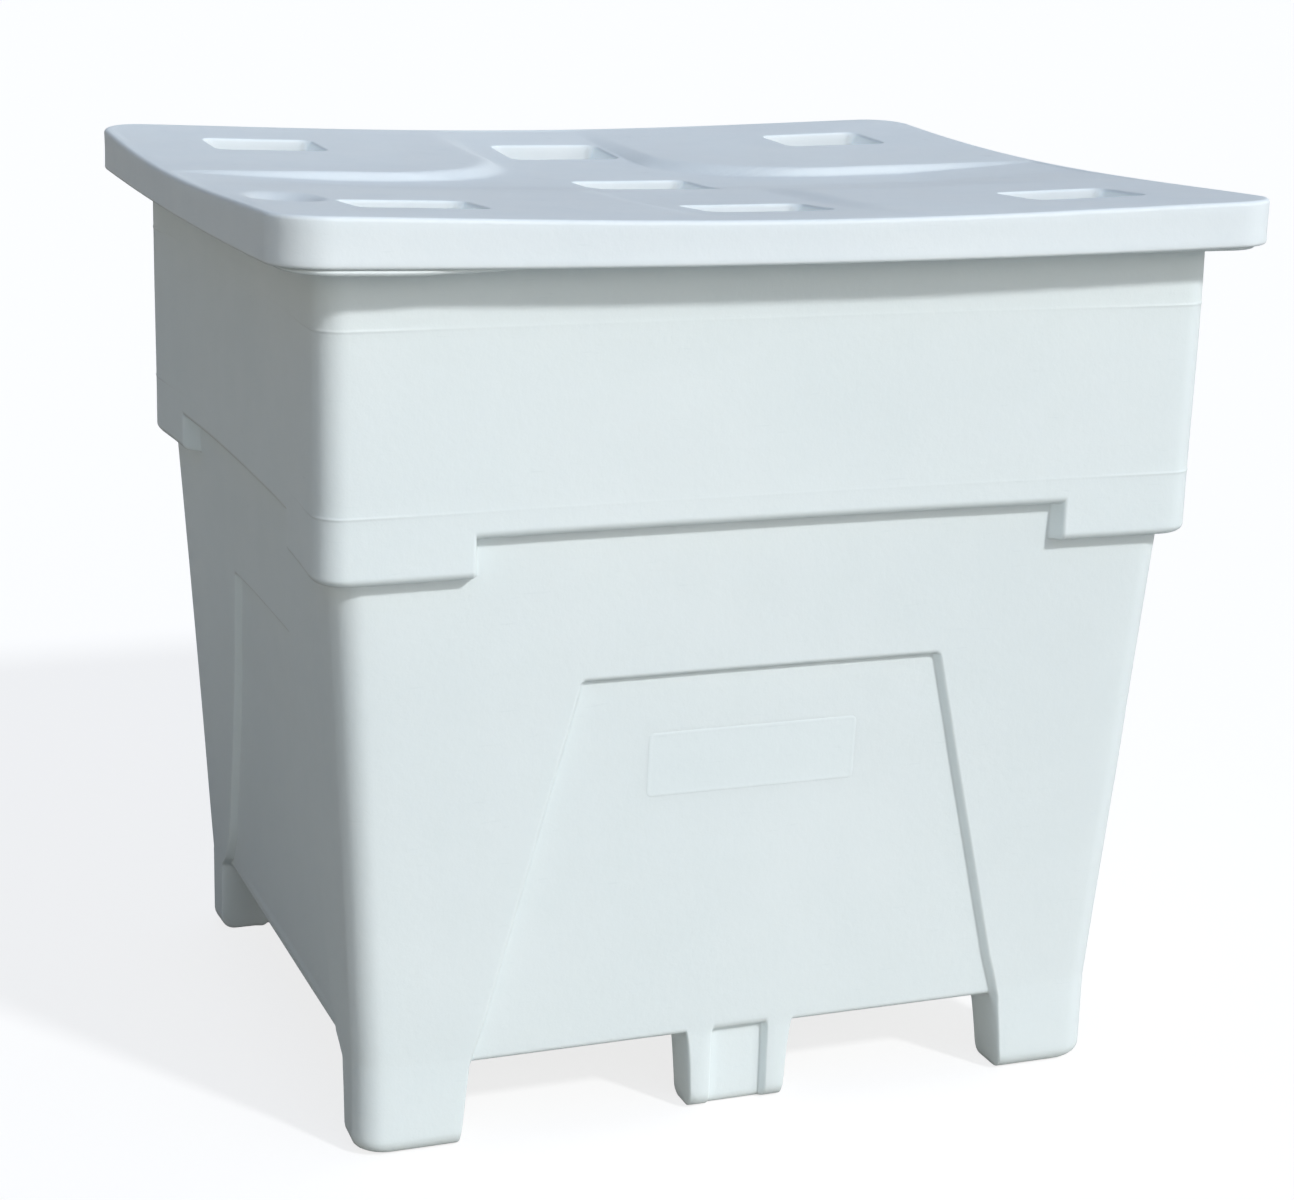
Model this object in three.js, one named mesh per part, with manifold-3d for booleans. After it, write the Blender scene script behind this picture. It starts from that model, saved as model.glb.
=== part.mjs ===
// Nesting bulk container with a lift-off lid, both single-wall rotational mouldings.
// Millimetres, +Z up. Origin on the ground under the middle of the container.
// +X runs along the long side, -Y is the long side that carries the blank plaque.
import * as THREE from 'three';
import { mergeVertices } from 'three/addons/utils/BufferGeometryUtils.js';
import Module from 'manifold-3d';

const wasm = await Module();
wasm.setup();

// ---- shared dimensions --------------------------------------------------
// A plan is a rounded rectangle about the Z axis: half sizes x and y, corner radius r.
const SKIN = 8;          // wall thickness of both mouldings
const CLEAR = 20;        // how far cutters run past what they cut
const CUT_REACH = 700;   // half length of cutters that cross the whole container
const QUADRANTS = [[1, 1], [-1, 1], [-1, -1], [1, -1]];

// ---- helpers ------------------------------------------------------------
function solid(geometry) {
  geometry.deleteAttribute('normal');
  geometry.deleteAttribute('uv');
  const welded = mergeVertices(geometry, 1e-3);
  return new wasm.Manifold(new wasm.Mesh({
    numProp: 3,
    vertProperties: Float32Array.from(welded.attributes.position.array),
    triVerts: Uint32Array.from(welded.index.array),
  }));
}

const union = (bodies) => bodies.reduce((sum, body) => sum.add(body));
const cut = (body, cutters) => cutters.reduce((rest, cutter) => rest.subtract(cutter), body);
const inQuadrants = (body) => QUADRANTS.map(([sx, sy]) => body.scale([sx, sy, 1]));

// Moves every vertex; `move` changes the vector it is given.
function warp(geometry, move) {
  const positions = geometry.attributes.position;
  const v = new THREE.Vector3();
  for (let i = 0; i < positions.count; i++) {
    v.fromBufferAttribute(positions, i);
    move(v);
    positions.setXYZ(i, v.x, v.y, v.z);
  }
  return geometry;
}

// Spreads all four sides away from the Z axis by spreadAt(z).
function taper(geometry, spreadAt) {
  return warp(geometry, (v) => {
    const spread = spreadAt(v.z);
    v.x += Math.sign(v.x) * spread;
    v.y += Math.sign(v.y) * spread;
  });
}

// The plan grown by `grow`, each straight side split into `steps` lengths.
function roundedRect(plan, grow = 0, steps = 1) {
  const x = plan.x + grow;
  const y = plan.y + grow;
  const r = plan.r + grow;
  const straightX = x - r;
  const straightY = y - r;
  const shape = new THREE.Shape();
  const run = (x0, y0, x1, y1) => {
    for (let i = 1; i <= steps; i++) {
      shape.lineTo(x0 + (x1 - x0) * i / steps, y0 + (y1 - y0) * i / steps);
    }
  };
  shape.moveTo(-straightX, -y);
  run(-straightX, -y, straightX, -y);
  shape.absarc(straightX, -straightY, r, -Math.PI / 2, 0);
  run(x, -straightY, x, straightY);
  shape.absarc(straightX, straightY, r, 0, Math.PI / 2);
  run(straightX, y, -straightX, y);
  shape.absarc(-straightX, straightY, r, Math.PI / 2, Math.PI);
  run(-x, straightY, -x, -straightY);
  shape.absarc(-straightX, -straightY, r, Math.PI, 1.5 * Math.PI);
  return shape;
}

function polygon(points) {
  const shape = new THREE.Shape();
  shape.moveTo(...points[0]);
  for (const point of points.slice(1)) shape.lineTo(...point);
  shape.closePath();
  return shape;
}

// Upright prism from z0 to z1; `bevel` rounds its end edges within that height.
function prism(shape, z0, z1, { bevel = 0, curveSegments = 5 } = {}) {
  const geometry = new THREE.ExtrudeGeometry(shape, {
    depth: z1 - z0 - 2 * bevel,
    curveSegments,
    bevelEnabled: bevel > 0,
    bevelThickness: bevel,
    bevelSize: bevel,
    bevelOffset: -bevel,
    bevelSegments: 3,
  });
  return geometry.translate(0, 0, z0 + bevel);
}

function box([x0, x1], [y0, y1], [z0, z1], xSteps = 1, ySteps = 1) {
  const geometry = new THREE.BoxGeometry(x1 - x0, y1 - y0, z1 - z0, xSteps, ySteps, 1);
  return geometry.translate((x0 + x1) / 2, (y0 + y1) / 2, (z0 + z1) / 2);
}

// ---- container ----------------------------------------------------------
const FLOOR = 104.3;     // underside of the floor, top of the fork entry
const BODY = { x: 491, y: 416.3, r: 33 };    // lower body at FLOOR
const DRAFT = 0.0597;    // wall draft per mm of height
const STEP_Z = 764.5;    // underside of the upper band
const STEP_OVERLAP = 6;  // how far the lower body runs up into the band
const BAND = { x: 551, y: 476, r: 34 };
const TAB = { x: 368, y: 293, z: 719 };      // inner sides and underside of the corner tabs
const RIM = { x: 598, y: 523, r: 52 };       // outward rim with a turned-down lip
const RIM_TOP = 1105;
const LIP_Z = 1073;

// Recessed trapezoid panels, one per side. Half widths on the long (Y) and short (X) sides.
const PANEL_TOP = 580;
const PANEL_IN = 10;
const PANEL_HALF = {
  y: { top: 228, floor: 352.5 },
  x: { top: 153, floor: 300 },
};
const PANEL_CUT_DEPTH = 60;
// Lower corners of the short-side panels: step in from the leg, and two heights above FLOOR.
const FLARE = { stepIn: 26, low: 20, high: 60 };

const LEG = { x: PANEL_HALF.y.floor, y: 338 };  // inner corner of each leg at FLOOR
const LEG_OUT = 0.5;     // how far the outer faces stand out from the body at FLOOR
const LEG_DRAFT = 0.1;   // taper of the inner faces; the outer ones are upright
const LEG_BEVEL = 16;
const LEG_TOP = FLOOR + 22;

// Three feet on the line x = 0: one under each long side and one in the middle.
const FOOT_X = 68;
const FOOT_BACK = 342;   // face towards the middle, at FLOOR
const FOOT_RECESS = { x: 36, depth: 12 };    // upright groove in the outer face
const MIDDLE_FOOT = { x: FOOT_X, y: FOOT_X, r: 14 };
const FOOT_TOP = FLOOR + 4;
const HOLLOW_TOP = FLOOR + SKIN + 2;         // leg and foot hollows open into the body

const SEAM_HEIGHTS = [797, 1003];            // raised parting lines round the upper band
const SEAM = { out: 0.8, halfHeight: 1.2 };
const PLAQUE = { x: [-140, 130], z: [423, 505], proud: 1, sunk: 3 };

const drafted = (z) => DRAFT * (z - FLOOR);

// Trapezoid cutter against one wall, `side` 1 or -1 along `axis`.
function panelCutter(axis, side, inset) {
  const half = PANEL_HALF[axis];
  const slope = (half.floor - half.top) / (PANEL_TOP - FLOOR);
  const halfWidthAt = (z) => half.top + slope * (PANEL_TOP - z) + inset;
  const bottom = FLOOR - CLEAR;
  const top = PANEL_TOP + inset;
  const legSide = LEG.y + inset;
  // on the short sides the lower corners flare out to meet the legs
  const lowerEdge = axis === 'y'
    ? [[halfWidthAt(bottom), bottom]]
    : [
      [legSide, bottom],
      [legSide, FLOOR],
      [legSide - FLARE.stepIn, FLOOR + FLARE.low],
      [halfWidthAt(FLOOR + FLARE.high), FLOOR + FLARE.high],
    ];
  const right = [...lowerEdge, [halfWidthAt(top), top]];
  const left = right.map(([x, z]) => [-x, z]).reverse();
  // the shape's plane is (along the wall, height); its depth runs outwards from the inner face
  return solid(warp(prism(polygon([...right, ...left]), 0, PANEL_CUT_DEPTH), (v) => {
    const along = v.x;
    const z = v.y;
    const out = BODY[axis] + drafted(z) - PANEL_IN - inset + v.z;
    if (axis === 'y') v.set(side * -along, side * out, z);
    else v.set(side * out, side * along, z);
  }));
}

// Lower body and upper band, less the panels, `inset` inside the outer faces.
function bodyEnvelope(inset, top) {
  const step = STEP_Z + inset;
  const lowerPrism = prism(roundedRect(BODY, -inset), FLOOR + inset, step + STEP_OVERLAP);
  const lower = solid(taper(lowerPrism, drafted));
  const across = [-CUT_REACH, CUT_REACH];
  const gapHeight = [TAB.z - CLEAR, step];
  // the gaps between the corner tabs
  const band = cut(solid(prism(roundedRect(BAND, -inset), TAB.z + inset, top)), [
    solid(box([-TAB.x - inset, TAB.x + inset], across, gapHeight)),
    solid(box(across, [-TAB.y - inset, TAB.y + inset], gapHeight)),
  ]);
  const panels = [1, -1].flatMap((side) => [
    panelCutter('y', side, inset),
    panelCutter('x', side, inset),
  ]);
  return cut(lower.add(band), panels);
}

// The leg in the +X +Y corner.
function leg(inset, top, bevel) {
  const x0 = LEG.x + inset;
  const y0 = LEG.y + inset;
  const x1 = BODY.x + LEG_OUT - inset;
  const y1 = BODY.y + LEG_OUT - inset;
  const r = BODY.r - inset;
  const shape = new THREE.Shape();
  shape.moveTo(x0, y0);
  shape.lineTo(x1, y0);
  shape.lineTo(x1, y1 - r);
  shape.absarc(x1 - r, y1 - r, r, 0, Math.PI / 2);
  shape.lineTo(x0, y1);
  shape.closePath();
  return solid(warp(prism(shape, inset, top, { bevel }), (v) => {
    const shift = LEG_DRAFT * (FLOOR - v.z);
    if (v.x < (x0 + x1) / 2) v.x += shift;
    if (v.y < (y0 + y1) / 2) v.y += shift;
  }));
}

// The foot under the +Y side; its sides and back taper, its grooved front is upright.
function sideFoot(inset, top) {
  const front = BODY.y - PANEL_IN - inset;
  const back = FOOT_BACK + inset;
  const half = FOOT_X - inset;
  const grooveHalf = FOOT_RECESS.x + inset;
  const grooveBack = front - FOOT_RECESS.depth;
  const shape = polygon([
    [-half, back], [half, back], [half, front], [grooveHalf, front],
    [grooveHalf, grooveBack], [-grooveHalf, grooveBack], [-grooveHalf, front], [-half, front],
  ]);
  return solid(warp(prism(shape, inset, top), (v) => {
    const spread = drafted(v.z);
    if (v.y < (back + front) / 2) v.y -= spread;
    if (Math.abs(v.x) > (half + grooveHalf) / 2) v.x += Math.sign(v.x) * spread;
  }));
}

function middleFoot(inset, top) {
  return solid(taper(prism(roundedRect(MIDDLE_FOOT, -inset), inset, top), drafted));
}

// Four legs and three feet.
function supports(inset, legTop, footTop, legBevel = 0) {
  const foot = sideFoot(inset, footTop);
  return [
    ...inQuadrants(leg(inset, legTop, legBevel)),
    foot,
    foot.scale([1, -1, 1]),
    middleFoot(inset, footTop),
  ];
}

function rim() {
  return solid(prism(roundedRect(RIM), LIP_Z, RIM_TOP))
    .subtract(solid(prism(roundedRect(RIM, -SKIN), LIP_Z - CLEAR, RIM_TOP - SKIN)));
}

function seam(z) {
  return solid(prism(roundedRect(BAND, SEAM.out), z - SEAM.halfHeight, z + SEAM.halfHeight));
}

// Thin raised plate lying on the sloping -Y panel.
function plaque() {
  return solid(warp(box(PLAQUE.x, [-PLAQUE.proud, PLAQUE.sunk], PLAQUE.z), (v) => {
    v.y -= BODY.y + drafted(v.z) - PANEL_IN;
  }));
}

function buildContainer() {
  const outer = union([
    bodyEnvelope(0, RIM_TOP),
    rim(),
    ...supports(0, LEG_TOP, FOOT_TOP, LEG_BEVEL),
    ...SEAM_HEIGHTS.map(seam),
    plaque(),
  ]);
  const inner = union([
    bodyEnvelope(SKIN, RIM_TOP + CLEAR),
    ...supports(SKIN, HOLLOW_TOP, HOLLOW_TOP),
  ]);
  return outer.subtract(inner);
}

// ---- lid ----------------------------------------------------------------
const LID = { x: 610, y: 535, r: 62 };
const LID_MID = 1109.5;  // lid top at its middle, channels left out
// Rise towards the edges: square and fourth-power terms along X and Y, and a cross term.
const DISH = { x2: 16.3, x4: -6.7, y2: 15.9, y4: -3.4, xy: 4.3 };
const LID_EDGE_R = 12;   // rounding of the lid's top edge
const EDGE_LIFT = 0.4;   // how far the rounded envelope's top lies above the dished top
const ENVELOPE_HEIGHT = 124;
const LID_SIDE_STEPS = 7;
const LID_SKIRT = 1079.5;                    // skirt's lower edge at the corners
const SAG = { x: 10.71, y: 6.732 };          // extra hang at mid length and at mid depth

const CHANNEL = 10;            // depth of the cross channel
const CHANNEL_FRONT = 0.55;    // share of that depth on the -Y half
const CHANNEL_FADE = 200;      // distance from y = 0 over which the share is reached
const CHANNEL_RUNOUT = 1.25;   // above 1 holds full depth further before it fades to the edge

const PAD_INNER = { x: 103, y: 88 };         // inner corner of each pad at LID_MID
const PAD_OUTER = { x: 760, y: 700 };        // beyond the lid's edge
const PAD_R = 190;
const PAD_SLOPE = 1.6;         // sideways run of the pad's flank per mm of depth
const PAD_Z = [1040, 1160];
const PAD_HOLLOW_GROW = -SKIN * 0.5;

const WELL_DEEP = 34;
const WELL_TAPER = 9;          // narrowing of each side over that depth
const WELL_R = 18;
const WELL_ABOVE = 40;         // how far the cutter runs above the rim
const CORNER_WELL = { x: 414, y: 361 };
// Centre, half sizes at the rim, and the surface the rim lies on.
const WELLS = [
  { x: 0, y: 0, half: [79, 73], surface: lidChannel },
  ...[1, -1].map((sy) => (
    { x: 0, y: sy * CORNER_WELL.y, half: [79, 57], surface: lidChannel })),
  ...QUADRANTS.map(([sx, sy]) => (
    { x: sx * CORNER_WELL.x, y: sy * CORNER_WELL.y, half: [76, 57], surface: lidTop })),
];

// 1 on the middle line, falling to 0 at the lid's edge and beyond.
function edgeFall(distance, half) {
  return Math.max(0, 1 - (distance / half) ** 2);
}

function lidTop(x, y) {
  const xx = (x / LID.x) ** 2;
  const yy = (y / LID.y) ** 2;
  return LID_MID + DISH.x2 * xx + DISH.x4 * xx * xx
    + DISH.y2 * yy + DISH.y4 * yy * yy + DISH.xy * xx * yy;
}

function lidChannel(x, y) {
  const share = y < 0 ? 1 - (1 - CHANNEL_FRONT) * Math.min(1, -y / CHANNEL_FADE) : 1;
  const fadeX = Math.min(1, CHANNEL_RUNOUT * edgeFall(x, LID.x));
  const fadeY = Math.min(1, CHANNEL_RUNOUT * edgeFall(y, LID.y));
  return lidTop(x, y) - share * CHANNEL * fadeX * fadeY;
}

function skirtEdge(x, y) {
  return LID_SKIRT - SAG.x * edgeFall(x, LID.x) - SAG.y * edgeFall(y, LID.y);
}

// Everything below a height field lowered by `drop`.
function under(field, drop = 0) {
  const block = box([-650, 650], [-575, 575], [950, 1100], 10, 9);
  return solid(warp(block, (v) => {
    if (v.z > 1000) v.z = field(v.x, v.y) - drop;
  }));
}

// The four pads as tapered blocks that run out past the lid's edge.
function pads(grow) {
  const plan = {
    x: (PAD_OUTER.x - PAD_INNER.x) / 2,
    y: (PAD_OUTER.y - PAD_INNER.y) / 2,
    r: PAD_R,
  };
  const block = taper(prism(roundedRect(plan, grow), ...PAD_Z), (z) => (LID_MID - z) * PAD_SLOPE);
  return inQuadrants(solid(block.translate(PAD_INNER.x + plan.x, PAD_INNER.y + plan.y, 0)));
}

// The channelled field with the pads standing on it.
function lidSurface(drop, grow) {
  const top = under(lidTop, drop);
  return union([under(lidChannel, drop), ...pads(grow).map((pad) => pad.intersect(top))]);
}

function wellBlock({ x, y, half, surface }, grow) {
  const rimZ = surface(x, y);
  const shape = roundedRect({ x: half[0], y: half[1], r: WELL_R }, grow);
  const block = prism(shape, rimZ - WELL_DEEP - grow, rimZ + WELL_ABOVE);
  taper(block, (z) => (z - rimZ) * WELL_TAPER / WELL_DEEP);
  return solid(block.translate(x, y, 0));
}

// The lid's plan with a rounded top edge that follows the dished top.
function lidEnvelope() {
  const block = prism(
    roundedRect(LID, 0, LID_SIDE_STEPS),
    EDGE_LIFT - ENVELOPE_HEIGHT,
    EDGE_LIFT,
    { bevel: LID_EDGE_R, curveSegments: 6 },
  );
  return solid(warp(block, (v) => { v.z += lidTop(v.x, v.y); }));
}

function buildLid() {
  const outerSurface = lidSurface(0, 0);
  const innerPlan = solid(prism(roundedRect(LID, -SKIN), 900, 1200));
  const hollow = lidSurface(SKIN, PAD_HOLLOW_GROW).intersect(innerPlan);
  const shell = cut(outerSurface.intersect(lidEnvelope()), [under(skirtEdge), hollow]);
  const wellWalls = WELLS.map((well) => wellBlock(well, SKIN).intersect(outerSurface));
  return cut(union([shell, ...wellWalls]), WELLS.map((well) => wellBlock(well, 0)));
}

// ---- scene graph --------------------------------------------------------
function plastic(color) {
  return new THREE.MeshStandardMaterial({ color, roughness: 0.62, metalness: 0 });
}

function meshOf(name, body, material) {
  const { vertProperties, triVerts } = body.getMesh();
  const geometry = new THREE.BufferGeometry();
  geometry.setAttribute(
    'position',
    new THREE.BufferAttribute(Float32Array.from(vertProperties), 3),
  );
  geometry.setIndex(new THREE.BufferAttribute(Uint32Array.from(triVerts), 1));
  geometry.computeVertexNormals();
  const mesh = new THREE.Mesh(geometry, material);
  mesh.name = name;
  return mesh;
}

const group = new THREE.Group();
group.add(meshOf('container', buildContainer(), plastic(0xe4ebec)));
group.add(meshOf('lid', buildLid(), plastic(0xe2e9ec)));

export default group;
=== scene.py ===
"""A moulded plastic container with a lid.

The container stands on z = 0, centred on the z axis, with its long sides facing the front (-y) and
the back (+y). It has a leg at each corner, a foot in the middle of each long side and a square foot
under the centre of its floor. Shapes are in millimetres and become metres in make_mesh. The stage
is in metres.
"""
import math

import bpy
import numpy as np
from mathutils import Matrix, Vector


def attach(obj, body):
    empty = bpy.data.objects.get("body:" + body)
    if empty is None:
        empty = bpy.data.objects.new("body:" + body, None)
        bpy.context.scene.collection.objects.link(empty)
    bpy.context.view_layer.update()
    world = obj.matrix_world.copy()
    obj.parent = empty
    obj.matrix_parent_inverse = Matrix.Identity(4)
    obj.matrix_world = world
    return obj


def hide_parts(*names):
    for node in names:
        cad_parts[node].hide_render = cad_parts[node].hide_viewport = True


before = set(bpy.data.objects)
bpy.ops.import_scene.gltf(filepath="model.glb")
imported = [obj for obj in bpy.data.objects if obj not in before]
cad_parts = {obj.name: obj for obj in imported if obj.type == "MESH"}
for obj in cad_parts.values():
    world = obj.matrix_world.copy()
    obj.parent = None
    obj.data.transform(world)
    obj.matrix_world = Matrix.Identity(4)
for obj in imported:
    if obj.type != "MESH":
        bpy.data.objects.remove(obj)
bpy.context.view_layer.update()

MM = 0.001

# --------------------------------------------------------------- dimensions
# "Half" sizes are measured from the middle of the container.
SKIN = 8.0                         # thickness of walls, floor and lid
FLOOR_Z = 104.3                    # underside of the floor
BODY_X, BODY_Y = 491.0, 416.3      # half sizes at the floor
X_LESS_Y = BODY_X - BODY_Y         # every y half size is the x half size less this
DRAFT = 0.0597                     # outward lean of the walls
BODY_R = 33.0                      # plan corner radius
STEP_Z = 764.5                     # underside of the step out to the upper band
TAB_Z = 719.0                      # underside of the tabs that hang from the band at the corners
BAND_X = 551.0                     # half size of the band
PANEL_TOP, PANEL_IN = 580.0, 10.0  # top and depth of the sunk panel on each side
SEAMS = (797.0, 1003.0)            # heights of the parting lines

RIM_TOP, LIP_Z = 1105.0, 1073.0    # top of the rim, lower edge of its lip
RIM_X, RIM_R = 598.0, 52.0

LEG_ARM = 75.0                     # from a leg's outer face to its inner face
LEG_OUT = 0.7                      # how far a leg stands proud of the wall's foot
FOOT_RECESS = 12.0                 # depth of the recess between a middle foot's ribs
SECTION_TOP = 120.0                # where the wall hands over to the leg and floor sections
SECTION_END = 84.0                 # how far in from the side those sections reach
SECTION_COUNTS = (22, 16, 22)      # rows down a leg, across its underside, up its inner face

LID_X, LID_Y, LID_R = 610.0, 535.0, 62.0
LID_EDGE = 13.0                    # width of the lid's rounded edge, outside its grid
LID_CORNER = LID_R - LID_EDGE


# ------------------------------------------------------------------ helpers
def smooth(t):
    """Smooth step from 0 at t=-1 to 1 at t=1."""
    t = np.clip((np.asarray(t, float) + 1) / 2, 0, 1)
    return t * t * (3 - 2 * t)


def arc(centre_x, centre_z, radius, start, end, count):
    """Points on an arc between two angles in degrees."""
    return [(centre_x + radius * math.cos(t), centre_z + radius * math.sin(t))
            for t in np.radians(np.linspace(start, end, count))]


def lattice_value(ix, iy, iz):
    """A fixed pseudo-random value in -1..1 for each lattice point."""
    n = (ix * 73856093) ^ (iy * 19349663) ^ (iz * 83492791)
    n = (n ^ (n >> 13)) * 1274126177
    n = n & 0x7FFFFFFF
    return n.astype(float) / 0x7FFFFFFF * 2 - 1


def noise(points, size, seed):
    """Smooth value noise in -1..1, one cell per `size` millimetres."""
    q = np.asarray(points, float) / size + seed * 17.31
    cell = np.floor(q).astype(np.int64)
    f = q - cell
    f = f * f * f * (f * (f * 6 - 15) + 10)
    total = 0
    for dx in (0, 1):
        for dy in (0, 1):
            for dz in (0, 1):
                weight = ((f[:, 0] if dx else 1 - f[:, 0]) * (f[:, 1] if dy else 1 - f[:, 1])
                          * (f[:, 2] if dz else 1 - f[:, 2]))
                total = total + weight * lattice_value(
                    cell[:, 0] + dx, cell[:, 1] + dy, cell[:, 2] + dz)
    return total


def wall_noise(points):
    """The faint large-scale unevenness of the container's walls."""
    return noise(points, 210, 1) * 0.9 + noise(points, 95, 2) * 0.35


def faces_from(*corners):
    """Faces whose first, second, ... vertices are listed in the given index arrays."""
    return list(zip(*(c.tolist() for c in np.broadcast_arrays(*corners))))


def add_object(name, data):
    thing = bpy.data.objects.new(name, data)
    bpy.context.scene.collection.objects.link(thing)
    return thing


def make_mesh(name, points, faces, material, well_marks=None):
    mesh = bpy.data.meshes.new(name)
    mesh.from_pydata((np.asarray(points, float) * MM).tolist(), [], faces)
    mesh.validate()
    mesh.update()
    mesh.shade_smooth()
    if well_marks is not None:
        layer = mesh.attributes.new("well", "FLOAT", "POINT")
        layer.data.foreach_set("value", np.asarray(well_marks, np.float32))
    mesh.materials.append(material)
    return add_object(name, mesh)


# -------------------------------------------------------- container: columns
# The container is one closed skin: a grid of columns round the plan by rows along the section.
# Each side runs anticlockwise from above and ends in a corner. A column on a side is one of:
#   fixed    a set distance from the side's middle
#   rib      a place across the edge of a middle foot's rib
#   foot     a place across a middle foot's end
#   inner    a share of the way to the moving edge cluster
#   cluster  a place across the edge cluster
#   outer    a share of the way from the cluster to the corner
# The cluster follows the panel's slanted edge, then the tab's side, and the leg's end face below.
CLUSTER = (-1, -0.82, -0.64, -0.46, -0.3, -0.15, 0, 0.15, 0.3, 0.46, 0.64, 0.82, 1)
FOOT_CLUSTER = (-1, -0.72, -0.45, -0.2, 0, 0.2, 0.45, 0.72, 1)
INNER_START_LONG, INNER_START_SHORT = 78.0, 52.0


def side_columns(long_side):
    """(kind, value, sign) of each column along one side."""
    if long_side:
        half = [("fixed", a) for a in (0, 12, 22)]
        half += [("rib", d) for d in FOOT_CLUSTER]
        half.append(("fixed", 51.5))
        half += [("foot", d) for d in FOOT_CLUSTER]
        inner_count = 9
    else:
        half = [("fixed", 0), ("fixed", 26)]
        inner_count = 10
    half += [("inner", t) for t in np.linspace(0, 1, inner_count)[:-1]]
    half += [("cluster", d) for d in CLUSTER]
    half += [("outer", t) for t in np.linspace(0, 1, 9)[1:]]
    return [(k, v, -1) for k, v in reversed(half)] + [(k, v, 1) for k, v in half[1:]]


FRONT, RIGHT, BACK, LEFT = range(4)
columns = []               # (side, kind, value, sign); a corner's value is its angle from its start
for i_side in (FRONT, RIGHT, BACK, LEFT):
    columns += [(i_side, *column) for column in side_columns(i_side in (FRONT, BACK))]
    columns += [(i_side, "corner", angle, 0) for angle in np.linspace(0, 90, 11)[1:-1]]
COUNT = len(columns)
side = np.array([c[0] for c in columns])
kind = np.array([c[1] for c in columns])
value = np.array([float(c[2]) for c in columns])
sign = np.array([c[3] for c in columns], float)
is_corner = kind == "corner"
is_long = ~is_corner & ((side == FRONT) | (side == BACK))
inner_start = np.where(is_long, INNER_START_LONG, INNER_START_SHORT)
# plan directions of each column's side: along it, and outwards from it
along_x, along_y = np.array([(1, 0), (0, 1), (-1, 0), (0, -1)])[side].T
out_x, out_y = np.array([(0, -1), (1, 0), (0, 1), (-1, 0)])[side].T
# weights of the middle feet and of the recess between their ribs
is_fixed, is_rib, is_foot = kind == "fixed", kind == "rib", kind == "foot"
fade = smooth(-value / 0.9)
foot_weight = np.where(is_long & (is_fixed | is_rib | is_foot), np.where(is_foot, fade, 1.0), 0.0)
recess_weight = np.where(is_long & (is_rib | (is_fixed & (value < 30))),
                         np.where(is_rib, fade, 1.0), 0.0)
column_ids = np.arange(COUNT)
next_ids = (column_ids + 1) % COUNT

# height, then the cluster's half position on a long side and on a short side
EDGE_Z, EDGE_LONG, EDGE_SHORT = np.array([
    (0, 361, 346), (FLOOR_Z, 352.5, 337), (FLOOR_Z + 20, 347, 308), (FLOOR_Z + 60, 334.5, 282),
    (PANEL_TOP, 228, 153), (PANEL_TOP + 8, 229, 154), (TAB_Z - 9, 367, 292), (TAB_Z, 368, 293),
    (1200, 368, 293)]).T
# height, half width of the cluster
WIDTH_Z, WIDTH = np.array([
    (0, 5.0), (FLOOR_Z - 8, 5.0), (FLOOR_Z + 30, 7.5), (PANEL_TOP, 7.5), (TAB_Z, 9), (1200, 9)]).T
# height, then how far the middle of a long wall and of a short wall draws in
BOW_Z, BOW_LONG, BOW_SHORT = np.array([
    (0, 0, 0), (104, 0.5, 2.5), (200, 2.2, 9), (310, 4.0, 13), (430, 5.6, 15), (590, 7.1, 14),
    (764, 8.5, 12), (1010, 5.0, 6.0), (1075, 0.5, 0.5), (1200, 0, 0)]).T


def column_places(z, half_x, radius, inset):
    """Each column's signed place along its side, and its signed place across the edge cluster."""
    edge = np.where(is_long, np.interp(z, EDGE_Z, EDGE_LONG),
                    np.interp(z, EDGE_Z, EDGE_SHORT)) + inset
    end = half_x - np.where(is_long, 0, X_LESS_Y) - radius
    # near a leg's inner corner the cluster narrows to stay clear of the ring's own corner
    width = np.clip((end - edge + 4) / 2, 1.0, np.interp(z, WIDTH_Z, WIDTH))
    edge = np.minimum(edge, end - width - 1)
    places = {
        "fixed": value,
        "rib": 36 + inset * 0.9 + value * 3.2,
        "foot": 68.5 - inset - np.clip(FLOOR_Z - z, 0, 110) * 0.04 + value * 3.6,
        "inner": inner_start + value * (edge - width - 2 - inner_start),
        "cluster": edge + value * width,
        "outer": edge + width + value * (end - edge - width),
    }
    run = np.select([kind == name for name in places], list(places.values()), 0.0)
    across = np.where(is_corner, 9.0, (np.abs(run) - edge) / width)
    return run * sign, across


def ring(half_x, z, radius, inset=0.0):
    """The points of one row. half_x, z and radius may vary by column."""
    half_y = half_x - X_LESS_Y
    run, _ = column_places(z, half_x, radius, inset)
    angle = np.radians(90 * side - 90 + value)
    x = np.where(is_corner, (along_x + out_x) * (half_x - radius) + radius * np.cos(angle),
                 along_x * run + out_x * half_x)
    y = np.where(is_corner, (along_y + out_y) * (half_y - radius) + radius * np.sin(angle),
                 along_y * run + out_y * half_y)
    return np.column_stack([x, y, np.broadcast_to(z, COUNT)])


# ---------------------------------------------------------- container: walls
def base_half(z):
    """Half size in x of the plain drafted body."""
    return BODY_X + DRAFT * np.maximum(np.asarray(z, float) - FLOOR_Z, 0)


def side_share(run, long_side):
    """Share of the way from a side's middle to its end."""
    return np.clip(np.abs(run) / np.where(long_side, 476.0, 402.0), 0, 1)


def bow(z, run, long_side):
    """How far a wall draws in."""
    share = side_share(run, long_side)
    return np.where(long_side, (1 - share ** 2) ** 1.3 * np.interp(z, BOW_Z, BOW_LONG),
                    (1 - share ** 2) ** 0.8 * np.interp(z, BOW_Z, BOW_SHORT))


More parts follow.
